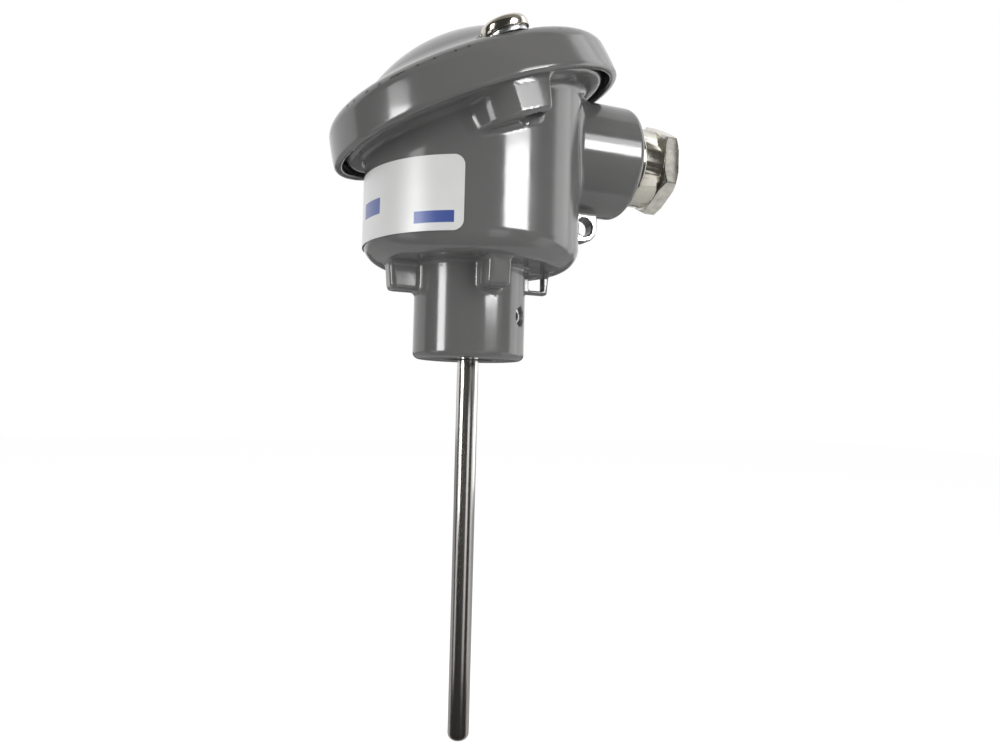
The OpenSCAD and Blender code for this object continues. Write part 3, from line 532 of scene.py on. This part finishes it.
# ---- Cap
# The cap is a second casting in the same enamel: a skirt over the flange, a rounded shoulder, a
# shallow valley and a dome, with two spot-faced seats for its screws.
cap_r, cap_draft, cap_rim, cap_wall, cap_h, cap_shoulder = 42.0, 1.3, 1.1, 2.3, 12.2, 3.8
dome_r, dome_rise, valley_fillet, cap_seat, cap_roof = 32.0, 13.5, 4.5, 6.03, 9.9
cap_hole_r, cap_boss_r = 2.6, 5.4
dome_sphere = (dome_r ** 2 + dome_rise ** 2) / (2 * dome_rise)
dome_mid = cap_h + dome_rise - dome_sphere
land_in, land_out, spot_r, spot_h = 30.1, 35.0, 6.6, 11.6
cap_place = (Matrix.Translation((0, 0, rim_z * mm)) @ Matrix.Rotation(-tilt, 4, "Y")
             @ Matrix.Translation((cap_shift * mm, 0, 0)))


def cap_form(x, y, z):
    """The cap lying on its rim, with its axis on z."""
    r = np.hypot(x, y)
    drafted = r + cap_draft * (np.maximum(z, 0) / (cap_h - cap_shoulder)) ** 1.4
    screw = np.hypot(x, np.abs(y) - cap_screw_y)
    dome = np.maximum(np.hypot(r, z - dome_mid) - dome_sphere, r - dome_r - 3)
    outside = grow(turned(drafted, z, cap_r, 0, cap_h, cap_rim, cap_shoulder), dome, valley_fillet)
    form = bore(outside, turned(r, z, cap_r - cap_wall, -20, cap_seat, 0, 0.5), 0.6)
    form = bore(form, turned(r, z, land_in, -20, cap_roof, 0, 0.5), 0.3)
    groove = np.maximum(np.maximum(land_out - r, r - (cap_r - cap_wall - 0.6)), z - cap_roof)
    form = bore(form, groove, 0.3)
    form = bore(form, np.maximum(np.hypot(r, z - dome_mid) - (dome_sphere - cap_wall), 9 - z), 0.5)
    form = grow(form, turned(screw, z, cap_boss_r, cap_seat, cap_roof + 1, 0.3, 0), 0.8)
    pocket = trim(turned(screw, z, spot_r + cap_wall, cap_roof, 40, 0, 0), outside, 0.1)
    form = np.minimum(form, pocket)
    form = bore(form, np.maximum(screw - cap_hole_r, -5 - z), 0.3)
    return bore(form, turned(screw, z, spot_r, spot_h, 60, 0.6, 0), 0.5)


mesh, normals = cast("cap_casting", cap_form, (-43.2, -43.2, -1.13), (43.2, 43.2, 27.2), 0.6)
cap = set_down("cap_casting", mesh, normals, cap_place)
cap.data.materials.append(enamel)
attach(cap, "cap")
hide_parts("head_cap")


# ---- Cap screws
# Two slotted screws of nickel-plated brass with a waisted shank and a rolled thread at its end,
# bright, with the fine scratches of a screwdriver. Their slots stand across the view.
def plated(name, colour, roughness, scratch_depth, grain=(1, 1, 1)):
    """A plated or turned metal, faintly uneven in colour and in gloss."""
    material, shader, where = finish(name, colour, roughness, 1.0)
    dull, bright = tuple(0.88 * c for c in colour), tuple(min(1, 1.06 * c) for c in colour)
    vary(shader, "Base Color", cloudy(where, 260, 3.0, grain), (0.35, dull), (0.65, bright))
    vary(shader, "Roughness", cloudy(where, 320, 2.0, grain),
         (0.35, (roughness * 0.85,)), (0.7, (roughness * 1.2,)))
    bumpy(shader, cloudy(where, 900, 1.0, grain), scratch_depth)
    return material


def machined(node, edge, threads=None):
    """A merged copy of a CAD node with its sharp edges broken; threads is (place, root radius,
    crest radius, low, high), the stretch of its shank to be cut down to the thread's root."""
    solid = bmesh.new()
    solid.from_mesh(nodes[node].data)
    bmesh.ops.remove_doubles(solid, verts=solid.verts, dist=0.002 * mm)
    bmesh.ops.dissolve_limit(solid, angle_limit=math.radians(1), verts=solid.verts, edges=solid.edges)
    if threads:
        place, root_r, crest_r, low, high = threads
        for v in solid.verts:
            p = place.inverted() @ v.co
            off = math.hypot(p.x, p.y)
            if low - 0.05 * mm < p.z < high + 0.05 * mm and abs(off - crest_r) < 0.06 * mm:
                p.x, p.y = p.x * root_r / off, p.y * root_r / off
                v.co = place @ p
    for face in solid.faces:
        face.smooth = True
    mesh = bpy.data.meshes.new(node + "_machined")
    solid.to_mesh(mesh)
    solid.free()
    piece = bpy.data.objects.new(node + "_machined", mesh)
    scene.collection.objects.link(piece)
    bevel = piece.modifiers.new("broken_edges", "BEVEL")
    bevel.width, bevel.segments, bevel.limit_method = edge, 2, "ANGLE"
    bevel.angle_limit, bevel.harden_normals = math.radians(32), True
    return settled(piece)


def settled(piece):
    """The piece with its modifiers worked into a plain mesh."""
    mesh = bpy.data.meshes.new_from_object(piece.evaluated_get(bpy.context.evaluated_depsgraph_get()))
    piece.modifiers.clear()
    piece.data = mesh
    return piece


def thread_tree():
    """A rolled thread: a rounded ridge wound round a shank, from its foot upwards."""
    tree = bpy.data.node_groups.new("rolled_thread", "GeometryNodeTree")
    tree.is_modifier = True
    tree.interface.new_socket("Thread", in_out="OUTPUT", socket_type="NodeSocketGeometry")
    for name in ("Crest radius", "Pitch", "Length"):
        tree.interface.new_socket(name, in_out="INPUT", socket_type="NodeSocketFloat")
    tree.interface.new_socket("Finish", in_out="INPUT", socket_type="NodeSocketMaterial")
    given = tree.nodes.new("NodeGroupInput").outputs
    ridge_r = worked("MULTIPLY", given["Pitch"], ridge_share)
    path_r = worked("SUBTRACT", given["Crest radius"], ridge_r)
    helix = tree.nodes.new("GeometryNodeCurveSpiral")
    helix.inputs["Resolution"].default_value = 28
    tree.links.new(worked("DIVIDE", given["Length"], given["Pitch"]), helix.inputs["Rotations"])
    tree.links.new(given["Length"], helix.inputs["Height"])
    tree.links.new(path_r, helix.inputs["Start Radius"])
    tree.links.new(path_r, helix.inputs["End Radius"])
    ridge = tree.nodes.new("GeometryNodeCurvePrimitiveCircle")
    ridge.inputs["Resolution"].default_value = 8
    tree.links.new(ridge_r, ridge.inputs["Radius"])
    sweep = tree.nodes.new("GeometryNodeCurveToMesh")
    sweep.inputs["Fill Caps"].default_value = True
    tree.links.new(helix.outputs["Curve"], sweep.inputs["Curve"])
    tree.links.new(ridge.outputs["Curve"], sweep.inputs["Profile Curve"])
    real = tree.nodes.new("GeometryNodeRealizeInstances")
    tree.links.new(sweep.outputs["Mesh"], real.inputs["Geometry"])
    dressed = tree.nodes.new("GeometryNodeSetMaterial")
    tree.links.new(real.outputs["Geometry"], dressed.inputs["Geometry"])
    tree.links.new(given["Finish"], dressed.inputs["Material"])
    result = tree.nodes.new("NodeGroupOutput")
    tree.links.new(dressed.outputs["Geometry"], result.inputs["Thread"])
    return tree


ridge_share, thread_depth = 0.43, 0.58
rolled_thread = thread_tree()


def threaded(node, body, material, edge, place, crest_r, pitch, low, length):
    """A screw made of its machined blank and the thread rolled on it; lengths in millimetres."""
    root_r = crest_r - thread_depth * pitch
    blank = machined(node, edge * mm, (place, root_r * mm, crest_r * mm, low * mm, (low + length) * mm))
    blank.data.materials.append(material)
    ridge = bpy.data.objects.new(node + "_thread", bpy.data.meshes.new(node + "_thread"))
    scene.collection.objects.link(ridge)
    wound = ridge.modifiers.new("thread", "NODES")
    wound.node_group = rolled_thread
    sizes = {"Crest radius": crest_r * mm, "Pitch": pitch * mm, "Length": (length - pitch * 0.9) * mm,
             "Finish": material}
    for item in rolled_thread.interface.items_tree:
        if item.in_out == "INPUT":
            wound[item.identifier] = sizes[item.name]
    settled(ridge)
    ridge.data.transform(place @ Matrix.Translation((0, 0, (low + pitch * 0.45) * mm)))
    for polygon in ridge.data.polygons:
        polygon.use_smooth = True
    for piece, name in ((blank, node + "_blank"), (ridge, node + "_thread")):
        piece.name = name
        if not piece.data.materials:
            piece.data.materials.append(material)
        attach(piece, body)
    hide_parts(node)
    return blank


nickel = plated("bright_nickel", (0.64, 0.61, 0.54), 0.15, 0.000002, (1, 0.25, 0.25))
for name, side in (("front", -1), ("back", 1)):
    seat = cap_place @ Matrix.Translation((0, side * cap_screw_y * mm, 0))
    blank = threaded("cap_screw_" + name, name + "_screw", nickel, 0.18, seat,
                     crest_r=3.0, pitch=1.0, low=-7.0, length=4.5)
    blank.data.transform(seat @ Matrix.Rotation(camera_azimuth, 4, "Z") @ seat.inverted())


# ---- Cable gland
# Turned brass, nickel-plated: a bright body screwed into the boss and a hexagon nut on it, which
# is duller and mottled from tumbling and takes no mirror image of the right soft box.
tumbled, shader, where = finish("tumbled_nickel", (0.58, 0.56, 0.50), 0.24, 1.0)
vary(shader, "Base Color", cloudy(where, 420, 3.0), (0.36, (0.58, 0.57, 0.52)), (0.62, (0.76, 0.74, 0.67)))
vary(shader, "Roughness", cloudy(where, 320, 2.0), (0.35, (0.24 * 0.85,)), (0.7, (0.24 * 1.2,)))
bumpy(shader, cloudy(where, 420, 1.0), 0.00002)


def plain_part(node, body, material, edge):
    """A piece without a thread: the machined copy of its node; edge is in millimetres."""
    piece = machined(node, edge * mm)
    piece.data.materials.append(material)
    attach(piece, body)
    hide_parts(node)
    return piece


plain_part("gland_body", "head", nickel, 0.2)
gland_axis = Matrix.Translation((boss_end * mm, 0, gland_z * mm)) @ Matrix.Rotation(math.pi / 2, 4, "Y")
nut = threaded("gland_nut", "nut", tumbled, 0.16, gland_axis,
               crest_r=8.85, pitch=1.5, low=-0.21, length=9.24)
spare = bpy.data.collections.new("no_box_highlight")
spare.objects.link(nut)
spare.collection_objects[0].light_linking.link_state = "EXCLUDE"
for box in (right_box, right_box_top):
    box.light_linking.receiver_collection = spare


# ---- Terminal screws
# Four slotted screws of nickel-plated brass with a fine rolled thread, which press the clamps
# down on their plates and grip the wires.
terminals = ((12, 7), (-12, 7), (-12, -7), (12, -7))
for k, (x, y) in enumerate(terminals, 1):
    threaded(f"terminal_screw_{k}", f"screw_{k}", nickel, 0.12,
             Matrix.Translation((x * mm, y * mm, 0)), crest_r=1.5, pitch=0.5, low=38.53, length=9.2)


# ---- Steel washers and screws
# Zinc-plated steel: the washers under the cap screws, the two screws that hold the block and the
# grub screw in the side of the neck.
screw_steel = plated("zinc_steel", (0.55, 0.56, 0.57), 0.3, 0.00001)
for name in ("front", "back"):
    plain_part("cap_washer_" + name, name + "_washer", screw_steel, 0.12)
plain_part("block_screws", "head", screw_steel, 0.15)
grub_foot_r = 7.68
grub_place = (Matrix.Rotation(grub_azimuth, 4, "Z") @ Matrix.Translation((0, 0, grub_z * mm))
              @ Matrix.Rotation(math.pi / 2, 4, "Y") @ Matrix.Translation((0, 0, grub_foot_r * mm)))
threaded("grub_screw", "grub_screw", screw_steel, 0.15, grub_place,
         crest_r=2.5, pitch=0.8, low=0, length=6.97)


# ---- Brass pieces
# Turned and stamped brass: the earth screw with its clamp, the terminals' clamps and plates, the
# bush that carries the stem in the neck and the gland's thrust ring.
brass = plated("turned_brass", (0.80, 0.58, 0.26), 0.25, 0.000008)
threaded("earth_screw", "earth_screw", brass, 0.12,
         Matrix.Translation((earth_x * mm, earth_y * mm, 0)), crest_r=1.75, pitch=0.6, low=28.56, length=6.5)
for k in range(1, 5):
    plain_part(f"terminal_clamp_{k}", f"clamp_{k}", brass, 0.12)
for node, body in (("neck_bush", "head"), ("terminal_plates", "head"), ("gland_thrust_ring", "thrust_ring"),
                   ("earth_clamp", "earth_clamp")):
    plain_part(node, body, brass, 0.12)


# ---- Stem
# Drawn stainless tube with a closed, rounded end, polished lengthwise. Its base colour is
# darkened towards the tip as painted shade.
stem_tip = -0.106
stainless, shader, where = finish("drawn_stainless", (0.6, 0.59, 0.57), 0.14, 1.0)
shader.inputs["Anisotropic"].default_value = 0.5
tree = stainless.node_tree
drawn = cloudy(where, 900, 3.0, (1, 1, 0.01))
height = tree.nodes.new("ShaderNodeSeparateXYZ")
tree.links.new(where, height.inputs[0])
# Painted shade: the base colour darkens from the top of the stem down to its tip.
shade_up_the_stem = tree.nodes.new("ShaderNodeMapRange")
shade_up_the_stem.inputs["From Min"].default_value, shade_up_the_stem.inputs["From Max"].default_value = stem_tip, 0.0
tree.links.new(height.outputs["Z"], shade_up_the_stem.inputs["Value"])
shade_and_grain = tree.nodes.new("ShaderNodeMix")
shade_and_grain.data_type, shade_and_grain.blend_type = "RGBA", "MULTIPLY"
shade_and_grain.inputs["Factor"].default_value = 1.0
tree.links.new(ramp(shade_up_the_stem.outputs["Result"], (0.0, (0.46, 0.44, 0.42)), (0.5, (0.58, 0.56, 0.54)),
                    (1.0, (0.68, 0.66, 0.64))), shade_and_grain.inputs["A"])
tree.links.new(ramp(drawn, (0.3, (0.85, 0.85, 0.85)), (0.7, (1.0, 1.0, 1.0))), shade_and_grain.inputs["B"])
tree.links.new(shade_and_grain.outputs["Result"], shader.inputs["Base Color"])
vary(shader, "Roughness", drawn, (0.3, (0.12,)), (0.7, (0.24,)))
bumpy(shader, drawn, 0.000006)


def dress(material, *names):
    """Gives CAD nodes that keep their own shape a new material."""
    for name in names:
        nodes[name].data.materials.clear()
        nodes[name].data.materials.append(material)


dress(stainless, "stem_sheath")


# ---- Label
# A pale self-adhesive foil on the pot with two plain blue bars in place of print, one near each
# side edge.
label_foil, shader, where = finish("label_foil", (0.73, 0.74, 0.73), 0.35)
shader.inputs["Coat Weight"].default_value = 0.6
shader.inputs["Coat Roughness"].default_value = 0.3
tree = label_foil.node_tree
place_parts = tree.nodes.new("ShaderNodeSeparateXYZ")
tree.links.new(where, place_parts.inputs[0])
azimuth = worked("ARCTAN2", place_parts.outputs["Y"], place_parts.outputs["X"])


def within(value, low, high, soft):
    """1 between two levels, 0 outside them."""
    tree = value.id_data
    edge = tree.nodes.new("ShaderNodeMapRange")
    edge.inputs["From Min"].default_value = (high - low) / 2 + soft
    edge.inputs["From Max"].default_value = (high - low) / 2 - soft
    from_mid = worked("ABSOLUTE", worked("SUBTRACT", value, (low + high) / 2))
    tree.links.new(from_mid, edge.inputs["Value"])
    return edge.outputs["Result"]


def bar(turns, heights):
    """A printed bar between two azimuths in degrees and two heights in metres."""
    across = within(azimuth, math.radians(turns[0]), math.radians(turns[1]), 0.002)
    return worked("MULTIPLY", across, within(place_parts.outputs["Z"], *heights, 0.00006))


small_bar, large_bar = bar((-137, -117), (0.0322, 0.0352)), bar((-178, -160), (0.0364, 0.0406))
colouring = tree.nodes.new("ShaderNodeMix")
colouring.data_type = "RGBA"
tree.links.new(worked("MAXIMUM", small_bar, large_bar), colouring.inputs["Factor"])
paper = ramp(cloudy(where, 120), (0.3, (0.71, 0.72, 0.71)), (0.7, (0.75, 0.75, 0.74)))
tree.links.new(paper, colouring.inputs["A"])
colouring.inputs["B"].default_value = (0.05, 0.09, 0.32, 1)
tree.links.new(colouring.outputs["Result"], shader.inputs["Base Color"])
bumpy(shader, cloudy(where, 300, 2.0), 0.00001)
dress(label_foil, "label")


# ---- Rubber
# Moulded black rubber, matt and slightly grainy: the flat gasket in the cap, the washer under
# the gland and the seal that grips a cable.
rubber, shader, where = finish("black_rubber", (0.022, 0.022, 0.022), 0.6)
vary(shader, "Roughness", cloudy(where, 1500), (0.3, (0.5,)), (0.7, (0.75,)))
bumpy(shader, cloudy(where, 3000), 0.00002)
dress(rubber, "cap_gasket", "gland_washer", "gland_seal")


# ---- Ceramic
# Fired white ceramic, slightly stained: the terminal block, the rod with the wires' bores and the
# sensing element.
ceramic, shader, where = finish("white_ceramic", (0.80, 0.78, 0.72), 0.45)
vary(shader, "Base Color", cloudy(where, 250, 5.0), (0.25, (0.72, 0.69, 0.62)), (0.6, (0.83, 0.81, 0.76)))
vary(shader, "Roughness", cloudy(where, 900), (0.3, (0.35,)), (0.7, (0.55,)))
bumpy(shader, cloudy(where, 1800), 0.00001)
plain_part("terminal_block", "head", ceramic, 0.3)
dress(ceramic, "insulator_rod", "sensing_element")


# ---- Wires
# Copper wires in smooth extruded sleeves, two red and two white, which run from the element up
# through the stem to the terminals.
def sleeve(name, colour):
    material, shader, where = finish(name, colour, 0.4)
    vary(shader, "Base Color", cloudy(where, 2000), (0.3, tuple(0.85 * c for c in colour)), (0.7, colour))
    bumpy(shader, cloudy(where, 4000), 0.00001)
    return material


dress(sleeve("red_sleeve", (0.5, 0.03, 0.02)), "lead_wires_red")
dress(sleeve("white_sleeve", (0.8, 0.8, 0.78)), "lead_wires_white")
